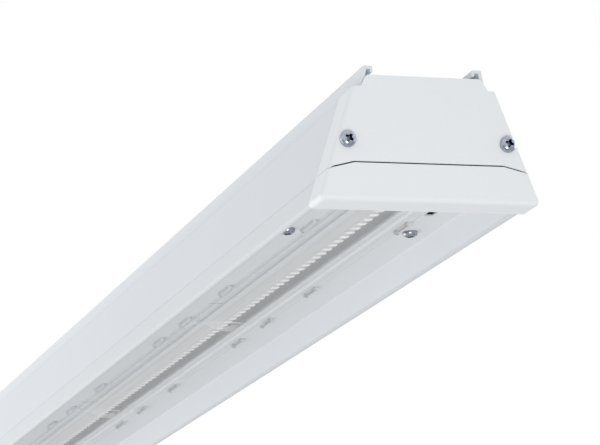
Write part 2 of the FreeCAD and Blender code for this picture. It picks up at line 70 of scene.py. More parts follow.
# Parts of a unit normal past which a face counts as an end, as turned to the lens, or as turned down.
END_ON, TO_LENS, DOWN = 0.5, 0.3, 0.99

# Turns over an edge, past which it is drawn sharp, and past which it counts as square.
SHARP, SQUARE = math.radians(32.0), 1.0

# Indices of refraction of coats, plastics and rubber, of acrylic, and of the LEDs' silicone.
IOR_SOLID, IOR_ACRYLIC, IOR_SILICONE = 1.5, 1.49, 1.42

# Heights over the bottom of the tray's rims up to which painted shade is full and past which it is gone, and
# the share of the coat's tone that it leaves there.
RIM_SHADE_FULL_TO, RIM_SHADE_GONE_AT, RIM_SHADE_TONE = 0.0006, 0.0018, 0.88

# How far inside the clear strip's edge the satin sets in, and how far outside it is full.
SATIN_FROM, SATIN_FULL = 0.0005, 0.0012

# Stretch of the lines that extrusion leaves along Y.
EXTRUSION = (1.0, 0.004, 1.0)

# Where a board's tracks lie beside its middle, and the bare strip at its ends.
TRACK_INNER, TRACK_OUTER, BARE_END = 0.0028, 0.0062, 0.002

# Second colour of the earth lead, its bands per metre, and the stretch of the marks of drawing.
EARTH_YELLOW, EARTH_BANDS, DRAWN = (0.75, 0.7, 0.08), 420.0, (1.0, 0.1, 1.0)

# A pan head: its rim and dome as shares of its height, its crown as a share of its radius, its steps.
HEAD_RIM, HEAD_DOME, HEAD_CROWN, HEAD_STEPS = 0.28, 0.94, 0.62, 6

# A cross recess: arms and waist as shares of the head's radius, the floor as a share of the mouth,
# the depth as a share of the head's height, and the number of corners.
CROSS_ARM, CROSS_WAIST, CROSS_FLOOR, CROSS_DEPTH, CROSS_CORNERS = 0.52, 0.3, 0.55, 0.6, 12

# How the screws' recesses are turned: a start, a part for the side and a part for the end, in degrees.
CAP_SCREW_TURN, CAP_SCREW_TURN_SIDE = 20.0, 37.0
TRAY_SCREW_TURN, TRAY_SCREW_TURN_SIDE, TRAY_SCREW_TURN_END = 10.0, 52.0, -21.0

# Each lamp's place, what it is aimed at, and the side of its square.
LAMPS = {
    "front_lamp": ((-0.3, -1.9, -0.9), (0.0, -0.6, -0.04), 0.5),
    "left_lamp": ((-1.4, 0.9, -0.6), (0.0, 0.0, -0.05), 2.4),
    "right_lamp": ((1.6, 0.1, 0.5), (0.0, 0.0, -0.03), 2.0),
}
WHITE = (1.0, 1.0, 1.0, 1.0)
FLOOR_HALF = 40.0
FLOOR_GREY, FLOOR_PALE = (0.83, 0.83, 0.83), (0.85, 0.85, 0.85)
SENSOR_WIDTH = 36.0


def length(name, description, default):
    return bpy.props.FloatProperty(
        name=name, description=description, default=default, unit="LENGTH", subtype="DISTANCE", precision=5)


def colour(name, description, default):
    return bpy.props.FloatVectorProperty(
        name=name, description=description, default=default, size=3, min=0.0, max=1.0, subtype="COLOR")


def share(name, description, default):
    return bpy.props.FloatProperty(
        name=name, description=description, default=default, min=0.0, max=1.0, subtype="FACTOR")


def angle(name, description, degrees):
    return bpy.props.FloatProperty(
        name=name, description=description, default=math.radians(degrees), subtype="ANGLE")


def watts(name, description, default):
    return bpy.props.FloatProperty(
        name=name, description=description, default=default, min=0.0, unit="POWER")


class LuminaireSizes(bpy.types.PropertyGroup):
    """Sizes of the pieces that are modelled here"""

    screw_seat_radius: length("Screw seat radius", "Radius of the seat under every head", 0.0042)
    screw_head_radius: length("Screw head radius", "Radius of every pan head", 0.0038)
    cap_screw_height: length("Cap screw head", "Height of the end cap screws' heads", 0.0029)
    tray_screw_height: length("Tray screw head", "Height of the tray screws' heads", 0.0026)
    screw_shank_radius: length("Screw shank radius", "Radius of the plain shanks", 0.0018)
    cap_screw_depth: length("Cap screw shank", "Length of the end cap screws' shanks", 0.014)
    tray_screw_depth: length("Tray screw shank", "Length of the tray screws' shanks", 0.008)
    lens_flange: length("Lens flange", "Thickness of the lens beside its optic", 0.002)
    lens_air: length("Lens air gap", "Air between the reflector and a lens", 0.0002)
    lens_optic: length("Optic half width", "From the middle to the foot of the bowed optic", 0.0132)
    lens_window: length("Window half width", "Half width of the clear strip along the optic", 0.004)
    lens_fillet: length("Optic fillet", "Set-back of the fillet at the foot of the optic", 0.003)
    lens_edge: length("Lens edge", "Radius of the rounded lower edges of a lens", 0.0006)
    lens_ceiling: length("Lens recess", "Depth of the recess for the board", 0.0019)
    lens_recess: length("Recess half width", "Half width of the recess for the board", 0.0095)
    lens_groove: length("Groove half width", "Half width of the groove over the LEDs", 0.004)
    lens_groove_depth: length("Groove depth", "Depth of the groove over the LEDs", 0.001)
    led_size: length("LED size", "Side of one LED package at the board", 0.005)
    led_tip: length("LED tip", "Side of one LED package at its window", 0.0048)
    led_window: length("LED window", "Side of the lit window of one LED", 0.0045)
    led_corner: share("LED corner", "How much of an LED's side its broken corners take off", 0.08)
    led_sink: share("LED sink", "How deep an LED's window lies, as a share of the LED's height", 0.2)
    clip_length: length("Clip length", "Length of one lens clip", 0.019)
    clip_after_joint: length("Clip after joint", "From a lens's start to its first clip's middle", 0.057)
    clip_before_joint: length("Clip before joint", "From the last clip's middle to a lens's end", 0.08)
    clip_gap: length("Clip gap", "Open gap between a lens's edge and its clips", 0.0007)
    clip_wall: length("Clip wall", "Thickness of a clip's stem", 0.0013)
    clip_barb: length("Clip barb", "Height of the barb over the tray", 0.0013)
    clip_edge: length("Clip edge", "Radius of the rounded lower edges of a clip", 0.0003)
    notch_rim: length("Notch rim", "Wall round the notch that takes a screwdriver's tip", 0.0002)
    notch_depth: length("Notch depth", "Depth of that notch in a clip's lower face", 0.0012)
    nib_length: length("Nib length", "Length of the nib at each end of a clip", 0.003)
    nib_height: length("Nib height", "Height of a clip's nibs at their root", 0.0012)
    nib_reach: length("Nib reach", "How far a clip's nibs stand out to the lens", 0.0011)
    grommet_neck: length("Grommet neck", "Radius of the grommet in the hole of the top web", 0.0078)
    grommet_flange: length("Grommet flange", "Height of the grommet over the top web", 0.0018)
    grommet_edge: length("Grommet edge", "Rounding of the grommet's edges", 0.0002)


class LuminaireColours(bpy.types.PropertyGroup):
    """Colours of the finishes, how dull they are and how much they hide"""

    # Partly painted shade: this white coat is set darker and bluer than the caps' coat, as the housing's own
    # tone and to stand in for the shade on its sides.
    housing: colour("Housing coat", "Powder coat of the housing", (0.715, 0.75, 0.785))
    housing_dull: share("Housing dullness", "How dull the housing's coat is", 0.55)
    coat: colour("Sheet coat", "Powder coat of the caps", (0.79, 0.82, 0.845))
    coat_dull: share("Sheet dullness", "How dull the caps' coat is", 0.4)
    # Partly painted shade: this white coat is set darker than the caps' coat, as the tray's own tone and to
    # stand in for the shade on the underside.
    tray: colour("Reflector coat", "Powder coat of the reflector tray", (0.713, 0.742, 0.766))
    tray_dull: share("Reflector dullness", "How dull the reflector tray's coat is", 0.6)
    zinc: colour("Zinc", "Zinc plate of the screws", (0.4, 0.44, 0.5))
    # Painted shade: the screws' cross recesses take this darker copy of the zinc, which stands in for the
    # shade inside them.
    recess: colour("Recess", "Shaded recess of the screws", (0.14, 0.16, 0.2))
    lens: colour("Lens", "Acrylic of the lenses", (0.92, 0.94, 0.955))
    lens_body: share("Clear body", "How much the clear acrylic hides", 0.09)
    flank_body: share("Satin body", "How much the satin flanks of the optics hide", 0.54)
    sawn_body: share("Sawn body", "How much the sawn ends of the lenses hide", 0.3)
    # Painted shade: the lenses' rounded lower edges, and the strip of side just over them, take this dark
    # grey, which stands in for the dark that refraction shows along a clear edge.
    edge: colour("Lens edge", "Rounded edges of the lenses, which lead the light away", (0.42, 0.44, 0.46))
    edge_body: share("Edge body", "How much the rounded edges of the lenses hide", 0.32)
    board: colour("Board", "Solder mask of the LED boards", (0.37, 0.38, 0.395))
    board_end: colour("Board end", "Bare white ends of the LED boards", (0.82, 0.82, 0.8))
    package: colour("LED package", "Moulded body of the LEDs", (0.2, 0.205, 0.21))
    phosphor: colour("Phosphor", "Window of the LEDs", (0.95, 0.94, 0.9))
    # Painted light: the LED windows glow with this strength although the LEDs are not lit.
    phosphor_painted_glow: share("Phosphor glow", "How strongly the LED windows glow in daylight", 0.2)
    clip: colour("Clip", "Nylon of the lens clips", (0.63, 0.657, 0.678))
    # Painted shade: the clips' inner faces in the gap beside the lens, and their notches, take this darker
    # copy of the clip's nylon.
    clip_painted_shade: colour("Clip inside", "Dull inner sides and notches of the clips", (0.45, 0.455, 0.46))
    rubber: colour("Rubber", "Cable grommet", (0.035, 0.036, 0.038))


class LuminaireStage(bpy.types.PropertyGroup):
    """Camera and light"""

    camera_place: bpy.props.FloatVectorProperty(
        name="Camera place", description="Where the camera stands", size=3, subtype="XYZ", unit="LENGTH",
        default=(-0.4193, -1.6704, -0.3456))
    camera_yaw: angle("Camera yaw", "Turn to the right of +Y", 18.524)
    camera_pitch: angle("Camera pitch", "Tilt up", 13.611)
    camera_roll: angle("Camera roll", "Turn about the view", -3.081)
    camera_lens: bpy.props.FloatProperty(
        name="Focal length", description="Focal length in millimetres on a 36 mm sensor", default=159.25)
    floor_drop: length("Floor drop", "From the rails' tops down to the floor", 8.0)
    sky: bpy.props.FloatProperty(
        name="Sky", description="Strength of the even light from all round", default=0.69, min=0.0)
    front_lamp: watts("Front lamp", "Power of the soft lamp before the near end", 9.5)
    left_lamp: watts("Left lamp", "Power of the soft lamp low on the left", 23.0)
    right_lamp: watts("Right lamp", "Power of the soft lamp high on the right", 14.0)


class Value:
    """A shader socket that takes part in written maths"""

    def __init__(self, nodes, socket):
        self.nodes = nodes
        self.socket = socket

    def math(self, operation, *terms):
        return self.nodes.add("ShaderNodeMath", {"operation": operation}, dict(enumerate(terms)))

    def __add__(self, other):
        return self.math("ADD", self, other)

    def __radd__(self, other):
        return self.math("ADD", other, self)

    def __sub__(self, other):
        return self.math("SUBTRACT", self, other)

    def __rsub__(self, other):
        return self.math("SUBTRACT", other, self)

    def __mul__(self, other):
        return self.math("MULTIPLY", self, other)

    def __rmul__(self, other):
        return self.math("MULTIPLY", other, self)

    def __mod__(self, other):
        return self.math("FLOORED_MODULO", self, other)

    def __rmod__(self, other):
        return self.math("FLOORED_MODULO", other, self)

    def __lt__(self, other):
        return self.math("LESS_THAN", self, other)

    def __gt__(self, other):
        return self.math("GREATER_THAN", self, other)

    def __abs__(self):
        return self.math("ABSOLUTE", self)

    def clamped(self):
        return self.math("MAXIMUM", self.math("MINIMUM", self, 1.0), 0.0)

    def between(self, low, high):
        """A smooth step from 0 at low to 1 at high."""
        settings = {"interpolation_type": "SMOOTHSTEP"}
        sockets = {"Value": self, "From Min": low, "From Max": high}
        return self.nodes.add("ShaderNodeMapRange", settings, sockets)


class Nodes:
    """A node tree in the making"""

    def __init__(self, tree):
        self.tree = tree

    def add(self, kind, settings, sockets, output=0):
        """Adds a node, sets it up, feeds its sockets and returns one of its outputs."""
        node = self.tree.nodes.new(kind)
        for name, setting in settings.items():
            setattr(node, name, setting)
        for name, value in sockets.items():
            if isinstance(value, Value):
                self.tree.links.new(value.socket, node.inputs[name])
            else:
                node.inputs[name].default_value = value
        return Value(self, node.outputs[output])


class Finish(Nodes):
    """A material on Object coordinates"""

    def __init__(self, name, constants):
        self.material = bpy.data.materials.new(name)
        self.material.use_nodes = True
        super().__init__(self.material.node_tree)
        self.shader = self.tree.nodes["Principled BSDF"]
        for socket, value in constants.items():
            self.shader.inputs[socket].default_value = value
        self.place = self.add("ShaderNodeTexCoord", {}, {}, "Object")

    def feed(self, socket, value):
        self.tree.links.new(value.socket, self.shader.inputs[socket])

    def noise(self, scale, detail=2.0, stretch=(1.0, 1.0, 1.0)):
        place = self.add("ShaderNodeMapping", {}, {"Vector": self.place, "Scale": stretch})
        return self.add("ShaderNodeTexNoise", {}, {"Vector": place, "Scale": scale, "Detail": detail}, "Fac")

    def axis(self, name):
        return self.add("ShaderNodeSeparateXYZ", {}, {"Vector": self.place}, name)

    def mix(self, factor, first, second):
        """One colour for a factor of 0, another for 1."""
        def rgba(tone):
            return tone if isinstance(tone, Value) else (*tone, 1.0)
        sockets = {0: factor, 6: rgba(first), 7: rgba(second)}
        return self.add("ShaderNodeMix", {"data_type": "RGBA"}, sockets, 2)

    def bump(self, height, distance):
        self.feed("Normal", self.add("ShaderNodeBump", {}, {"Height": height, "Distance": distance}))


def shade(tone, strength):
    return tuple(channel * strength for channel in tone)


def powder_coat(name, tone, dull, rim_shade_z=None):
    """White powder coat: fine orange peel and cloudy gloss, with painted shade, a darker tone, just over a
    given height.
    """
    finish = Finish(name, {"IOR": IOR_SOLID})
    cloud = finish.noise(scale=9.0, detail=3.0)
    peel = finish.noise(scale=620.0)
    grit = finish.noise(scale=2600.0, detail=1.0)
    coat_tone_and_shade = finish.mix(cloud.between(0.3, 0.7), shade(tone, 0.985), tone)
    # Painted shade: the tone drops to 0.88 of itself from the given height up to 0.6 mm over it, and fades
    # back by 1.8 mm over it.
    if rim_shade_z is not None:
        rim_unshaded = finish.axis("Z").between(rim_shade_z + RIM_SHADE_FULL_TO, rim_shade_z + RIM_SHADE_GONE_AT)
        coat_tone_and_shade = finish.mix(rim_unshaded, shade(tone, RIM_SHADE_TONE), coat_tone_and_shade)
    finish.feed("Base Color", coat_tone_and_shade)
    finish.feed("Roughness", dull + 0.1 * cloud + 0.06 * grit)
    finish.bump(peel + 0.3 * grit, distance=0.00006)
    return finish.material


def zinc_plate(name, tone):
    """Bright zinc plate, turned and lightly clouded."""
    finish = Finish(name, {"Metallic": 1.0})
    cloud = finish.noise(scale=900.0, detail=3.0)
    finish.feed("Base Color", finish.mix(cloud.between(0.35, 0.7), shade(tone, 0.85), shade(tone, 1.12)))
    finish.feed("Roughness", 0.14 + 0.12 * cloud)
    finish.bump(finish.noise(scale=4000.0), distance=0.00002)
    return finish.material


def clear_acrylic(name, tone, body):
    """Extruded acrylic with faint lines along it, from clear to satin by how much body it has."""
    finish = Finish(name, {"IOR": IOR_ACRYLIC})
    lines = finish.noise(scale=900.0, stretch=EXTRUSION)
    finish.feed("Base Color", finish.mix(lines, shade(tone, 0.96), tone))
    finish.feed("Roughness", 0.05 + 0.4 * body + 0.06 * lines)
    finish.feed("Alpha", body * (0.85 + 0.3 * lines))
    finish.bump(lines, distance=0.00001)
    return finish.material


def satin_acrylic(name, tone, clear, satin, window):
    """Acrylic that is clear along a strip at its middle and satin beside it."""
    finish = Finish(name, {"IOR": IOR_ACRYLIC})
    lines = finish.noise(scale=900.0, stretch=EXTRUSION)
    frost = abs(finish.axis("X")).between(window - SATIN_FROM, window + SATIN_FULL)
    finish.feed("Base Color", finish.mix(lines, shade(tone, 0.96), tone))
    finish.feed("Roughness", 0.08 + 0.3 * frost + 0.06 * lines)
    finish.feed("Alpha", (clear + (satin - clear) * frost) * (0.9 + 0.2 * lines))
    finish.bump(lines, distance=0.00001)
    return finish.material


def solder_mask(name, tone, end_tone):
    """Grey solder mask with the tracks showing faintly through it, and each board's ends bare."""
    finish = Finish(name, {"IOR": IOR_SOLID})
    across = abs(finish.axis("X"))
    track = (across > TRACK_INNER) * (across < TRACK_OUTER)
    mottle = finish.noise(scale=300.0)
    end = abs((finish.axis("Y") + MODULE / 2) % MODULE - MODULE / 2) < BARE_END
    finish.feed("Base Color", finish.mix(end, finish.mix(track, tone, shade(tone, 0.94)), end_tone))
    finish.feed("Roughness", 0.35 + 0.12 * mottle)
    finish.bump(track + 0.2 * mottle, distance=0.00003)
    return finish.material


def moulded(name, tone, dull):
    """Moulded plastic with a fine spark-eroded texture."""
    finish = Finish(name, {"IOR": IOR_SOLID})
    grain = finish.noise(scale=1500.0)
    flow = finish.noise(scale=60.0)
    finish.feed("Base Color", finish.mix(flow, shade(tone, 0.96), tone))
    finish.feed("Roughness", dull + 0.12 * grain)
    finish.bump(grain, distance=0.00003)
    return finish.material


def soft_rubber(name, tone):
    """Matt rubber with a faint bloom."""
    finish = Finish(name, {"IOR": IOR_SOLID})
    grain = finish.noise(scale=800.0, detail=3.0)
    bloom = finish.noise(scale=120.0).between(0.45, 0.75)
    finish.feed("Base Color", finish.mix(bloom, tone, shade(tone, 1.8)))
    finish.feed("Roughness", 0.55 + 0.2 * grain)
    finish.bump(grain, distance=0.00006)
    return finish.material


def galvanised(name, tone):
    """Hot-dip spangle on sheet steel."""
    finish = Finish(name, {"Metallic": 1.0})
    sockets = {"Vector": finish.place, "Scale": 130.0}
    spangle = finish.add("ShaderNodeTexVoronoi", {"feature": "F1"}, sockets, "Color")
    crystal = finish.add("ShaderNodeSeparateColor", {}, {"Color": spangle}, 0)
    finish.feed("Base Color", finish.mix(crystal, shade(tone, 0.8), shade(tone, 1.1)))
    finish.feed("Roughness", 0.3 + 0.2 * crystal)
    finish.bump(crystal, distance=0.00004)
    return finish.material


def insulation(name, tone, stripe=None):
    """Drawn wire insulation, with a second colour in bands where it has one."""
    finish = Finish(name, {"IOR": IOR_SOLID})
    along = finish.noise(scale=500.0, stretch=DRAWN)
    base = finish.mix(along, shade(tone, 0.9), tone)
    if stripe:
        base = finish.mix((finish.axis("X") * EARTH_BANDS) % 1.0 > 0.5, base, stripe)
    finish.feed("Base Color", base)
    finish.feed("Roughness", 0.3 + 0.15 * along)
    return finish.material


def phosphor(name, tone, glow):
    """The window of an LED: grainy silicone, with a faint painted glow that brightens it though the LED is
    not lit.
    """
    constants = {"IOR": IOR_SILICONE, "Coat Weight": 0.3}
    finish = Finish(name, {**constants, "Emission Color": (*tone, 1.0), "Emission Strength": glow})
    grain = finish.noise(scale=5000.0)
    finish.feed("Base Color", finish.mix(grain, shade(tone, 0.9), tone))
    finish.feed("Roughness", 0.25 + 0.2 * grain)
    finish.bump(grain, distance=0.00002)
    return finish.material


FINISHES = {}


def finishes():
    """The material of each slot, made once."""
    if FINISHES:
        return FINISHES
    tones = bpy.context.scene.luminaire_colours
    written = {row["slot"]: row["base_color"][:3] for row in frame["record"]["materials"]}
    FINISHES.update({
        "housing_coat": powder_coat("housing_coat", tones.housing, tones.housing_dull),
        "sheet_coat": powder_coat("sheet_coat", tones.coat, tones.coat_dull),
        # The tray's coat gets painted shade along the bottom of its rims, just over its lowest point.
        "tray_coat": powder_coat("tray_coat", tones.tray, tones.tray_dull, rim_shade_z=TRAY_LOW.z),
        "zinc_screw": zinc_plate("zinc_screw", tones.zinc),
        "galvanised_steel": galvanised("galvanised_steel", written["galvanised_steel"]),
        "tinned_copper": galvanised("tinned_copper", written["tinned_copper"]),
        "clip_plastic": moulded("clip_plastic", tones.clip, dull=0.55),
        "connector_plastic": moulded("connector_plastic", written["connector_plastic"], dull=0.4),
        "terminal_plastic": moulded("terminal_plastic", written["terminal_plastic"], dull=0.4),
        "led_package": moulded("led_package", tones.package, dull=0.4),
        "grommet_rubber": soft_rubber("grommet_rubber", tones.rubber),
        "board_mask": solder_mask("board_mask", tones.board, tones.board_end),
        "clear_lens": clear_acrylic("clear_lens", tones.lens, tones.lens_body),
        "lead_green": insulation("lead_green", written["lead_green"], EARTH_YELLOW),
    })
    for slot in ("lead_white", "lead_brown", "lead_blue"):
        FINISHES[slot] = insulation(slot, written[slot])
    return FINISHES


def sharpened(bm):
    """Makes faces smooth, and edges sharp wherever the surface turns enough."""
    for face in bm.faces:
        face.smooth = True
    for edge in bm.edges:
        edge.smooth = len(edge.link_faces) == 2 and edge.calc_face_angle(math.pi) < SHARP


def finished(bm, name, node, slot, materials=None):
    """Turns a bmesh into the piece that stands for a node."""
    sharpened(bm)
    mesh = bpy.data.meshes.new(name)
    bm.to_mesh(mesh)
    bm.free()
    for material in materials or [finishes()[slot]]:
        mesh.materials.append(material)
    piece = bpy.data.objects.new(name, mesh)
    bpy.context.scene.collection.objects.link(piece)
    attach(piece, BODY)
    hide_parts(node)


def gathered(parts):
    """One bmesh that holds several."""
    whole = bmesh.new()
    for part in parts:
        mesh = bpy.data.meshes.new("part")
        part.to_mesh(mesh)
        part.free()
        whole.from_mesh(mesh)
        bpy.data.meshes.remove(mesh)
    return whole


def turned(bm, profile, steps):
    """Spins an open (radius, z) profile about Z, with its poles and its seam closed."""
    verts = [bm.verts.new((radius, 0.0, z)) for radius, z in profile]
    edges = [bm.edges.new(pair) for pair in zip(verts, verts[1:])]
    bmesh.ops.spin(
        bm, geom=verts + edges, axis=(0, 0, 1), cent=(0, 0, 0), angle=math.tau, steps=steps, use_merge=True)
    bmesh.ops.remove_doubles(bm, verts=bm.verts, dist=NEAR)


def arc(start, end, rise, count):
    """Points between two (x, z) ends on an arc that bows down by a rise at its middle, ends left out."""
    half = (end[0] - start[0]) / 2
    middle = (start[0] + end[0]) / 2
    radius = (half * half + rise * rise) / (2 * rise)
    swing = math.asin(half / radius)
    points = []
    for i in range(1, count):
        turn = swing * (2 * i / count - 1)
        drop = radius * (math.cos(swing) - math.cos(turn))
        points.append((middle + radius * math.sin(turn), start[1] + drop))
    return points


def extruded(bm, outline, low_y, high_y):
    """A closed (x, z) outline carried along Y."""
    face = bm.faces.new([bm.verts.new((x, low_y, z)) for x, z in outline])
    grown = bmesh.ops.extrude_face_region(bm, geom=[face])
    moved = [item for item in grown["geom"] if isinstance(item, bmesh.types.BMVert)]
    bmesh.ops.translate(bm, verts=moved, vec=(0.0, high_y - low_y, 0.0))
    bmesh.ops.recalc_face_normals(bm, faces=bm.faces)


def screw(matrix, radius, height, shank, depth):
    """A domed pan head with a cross recess, on a shank, built along +Z and then put in its place."""
    bm = bmesh.new()
    rim = HEAD_RIM * height
    swing = math.acos(HEAD_CROWN)
    profile = [
        (0.0, -depth), (0.8 * shank, -depth), (shank, -depth + 0.5 * shank), (shank, 0.0), (radius, 0.0),
    ]
    for i in range(HEAD_STEPS + 1):
        turn = swing * i / HEAD_STEPS
        lift = math.sin(turn) / math.sin(swing)
        profile.append((radius * math.cos(turn), rim + (height - rim) * lift * HEAD_DOME))
    turned(bm, profile, steps=32)
    ring = [edge for edge in bm.edges if edge.is_boundary]
    half_arm = math.pi / CROSS_CORNERS
    made = bmesh.ops.create_circle(
        bm, cap_ends=False, radius=1.0, segments=CROSS_CORNERS, matrix=Matrix.Rotation(half_arm, 4, "Z"))
    cross = made["verts"]
    for vert in cross:
        turn = math.atan2(vert.co.y, vert.co.x)
        inner = abs(turn % (math.pi / 2) - math.pi / 4) < half_arm / 2
        reach = radius * (CROSS_WAIST if inner else CROSS_ARM / math.cos(half_arm))
        vert.co = (reach * math.cos(turn), reach * math.sin(turn), height)
    edges = list({edge for vert in cross for edge in vert.link_edges})
    bmesh.ops.bridge_loops(bm, edges=ring + edges)
    grown = bmesh.ops.extrude_edge_only(bm, edges=edges)
    low = [item for item in grown["geom"] if isinstance(item, bmesh.types.BMVert)]
    bmesh.ops.scale(bm, verts=low, vec=(CROSS_FLOOR, CROSS_FLOOR, 1.0))
    bmesh.ops.translate(bm, verts=low, vec=(0.0, 0.0, -CROSS_DEPTH * height))
    bottom = [item for item in grown["geom"] if isinstance(item, bmesh.types.BMEdge)]
    bmesh.ops.contextual_create(bm, geom=bottom)
    # Painted shade: the recess's walls and floor take material 1, a darker zinc.
    for face in {face for vert in low for face in vert.link_faces}:
        face.material_index = 1
    bmesh.ops.recalc_face_normals(bm, faces=bm.faces)
    bmesh.ops.transform(bm, matrix=matrix, verts=bm.verts)
    return bm


def lens_outline(sizes):
    """Section of a lens: a flange with a recess for the board above and a bowed optic below."""
    top, apex = LENS_HIGH.z - sizes.lens_air, LENS_LOW.z
    edge = LENS_HIGH.x
    foot_z = top - sizes.lens_flange
    ceiling = top - sizes.lens_ceiling
    groove, recess, optic = sizes.lens_groove, sizes.lens_recess, sizes.lens_optic
    bow = arc((-optic, foot_z), (optic, foot_z), foot_z - apex, count=48)
    hollow = arc((-groove, ceiling), (groove, ceiling), sizes.lens_groove_depth, count=16)
    return [
        (-edge, top), (-edge, foot_z), (-optic, foot_z), *bow, (optic, foot_z), (edge, foot_z), (edge, top),
        (recess, top), (recess, ceiling), (groove, ceiling), *reversed(hollow), (-groove, ceiling),
        (-recess, ceiling), (-recess, top),
    ]


class LUMINAIRE_OT_coats(bpy.types.Operator):
    """Gives every node of the frame the finish of its slot"""

    bl_idname = "luminaire.coats"
    bl_label = "Coat the frame"

    def execute(self, context):
        for row in frame["record"]["subparts"]:
            for slot in frame["nodes"][row["node"]].material_slots:
                slot.material = finishes()[row["material_slot"]]
        return {"FINISHED"}


class LUMINAIRE_OT_lenses(bpy.types.Operator):
    """Makes the lenses, one for each board, with satin flanks beside a clear strip"""

    bl_idname = "luminaire.lenses"
    bl_label = "Lenses"

    def rounded(self, bm, x, z, radius):
        """Rounds the two edges that run along Y at a distance from the middle and a height."""
        edges = [
            edge for edge in bm.edges
            if edge.verts[0].co.y != edge.verts[1].co.y
            and all(abs(abs(vert.co.x) - x) + abs(vert.co.z - z) < NEAR for vert in edge.verts)
        ]
        bmesh.ops.bevel(bm, geom=edges, offset=radius, affect="EDGES", segments=8, profile=0.5, material=-1)

    def execute(self, context):
        sizes = context.scene.luminaire_sizes
        tones = context.scene.luminaire_colours
        outline = lens_outline(sizes)
        foot_z = LENS_HIGH.z - sizes.lens_air - sizes.lens_flange
        side = LENS_HIGH.x - sizes.lens_edge
        clear = finishes()["clear_lens"]
        satin = satin_acrylic(
            "satin_lens", tones.lens, tones.lens_body, tones.flank_body, sizes.lens_window)
        sawn = clear_acrylic("sawn_lens", tones.lens, tones.sawn_body)
        edge = clear_acrylic("lens_edge", tones.edge, tones.edge_body)
        for number in MODULES:
            low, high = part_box(f"lens_{number}")
            bm = bmesh.new()
            extruded(bm, outline, low.y, high.y)
            self.rounded(bm, sizes.lens_optic, foot_z, sizes.lens_fillet)
            self.rounded(bm, LENS_HIGH.x, foot_z, sizes.lens_edge)
            bmesh.ops.remove_doubles(bm, verts=bm.verts, dist=NEAR)
            for face in bm.faces:
                middle = face.calc_center_median()
                if abs(face.normal.y) > END_ON:
                    face.material_index = 2
                elif middle.z < foot_z - NEAR:
                    face.material_index = 1
                # Painted shade: the rounded lower edges and the foot of the sides take the dark edge
                # acrylic.
                elif abs(middle.x) > side and middle.z < foot_z + sizes.lens_edge:
                    face.material_index = 3
            finished(bm, f"clear_lens_{number}", f"lens_{number}", "clear_lens", [clear, satin, sawn, edge])
        return {"FINISHED"}


class LUMINAIRE_OT_leds(bpy.types.Operator):
    """Makes the LED packages, each with a sunk phosphor window"""

    bl_idname = "luminaire.leds"
    bl_label = "LEDs"

    count: bpy.props.IntProperty(
        name="LEDs per board", description="Packages in each row", default=32, min=2)

    def package(self, sizes, height):
        """One package about the origin: tapered, its corners broken, a window sunk in its lower face."""
        bm = bmesh.new()
        verts = bmesh.ops.create_cube(bm, size=1.0)["verts"]
        bmesh.ops.scale(bm, verts=verts, vec=(sizes.led_size, sizes.led_size, height))
        tip = [vert for vert in verts if vert.co.z < 0.0]
        taper = sizes.led_tip / sizes.led_size
        bmesh.ops.scale(bm, verts=tip, vec=(taper, taper, 1.0))
        upright = [edge for edge in bm.edges if (edge.verts[0].co.z < 0.0) != (edge.verts[1].co.z < 0.0)]
        corner = sizes.led_corner * sizes.led_size
        bmesh.ops.bevel(
            bm, geom=upright, offset=corner, affect="EDGES", segments=1, profile=0.5, material=-1)
        window = min(bm.faces, key=lambda face: face.calc_center_median().z)
        rim = (sizes.led_tip - sizes.led_window) / 2
        bmesh.ops.inset_individual(bm, faces=[window], thickness=rim, depth=0.0)
        bmesh.ops.translate(bm, verts=window.verts, vec=(0.0, 0.0, sizes.led_sink * height))
        window.material_index = 1
        return bm

    def execute(self, context):
        sizes = context.scene.luminaire_sizes
        tones = context.scene.luminaire_colours
        materials = [
            finishes()["led_package"], phosphor("led_phosphor", tones.phosphor, tones.phosphor_painted_glow),
        ]
        pitch = (LED_HIGH.y - LED_LOW.y - sizes.led_size) / (self.count - 1)
        for number in MODULES:
            low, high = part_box(f"leds_{number}")
            packages = []
            for i in range(self.count):
                bm = self.package(sizes, high.z - low.z)
                place = (0.0, low.y + sizes.led_size / 2 + i * pitch, (low.z + high.z) / 2)
                bmesh.ops.translate(bm, verts=bm.verts, vec=place)
                packages.append(bm)
            finished(gathered(packages), f"led_row_{number}", f"leds_{number}", "led_package", materials)
        return {"FINISHED"}


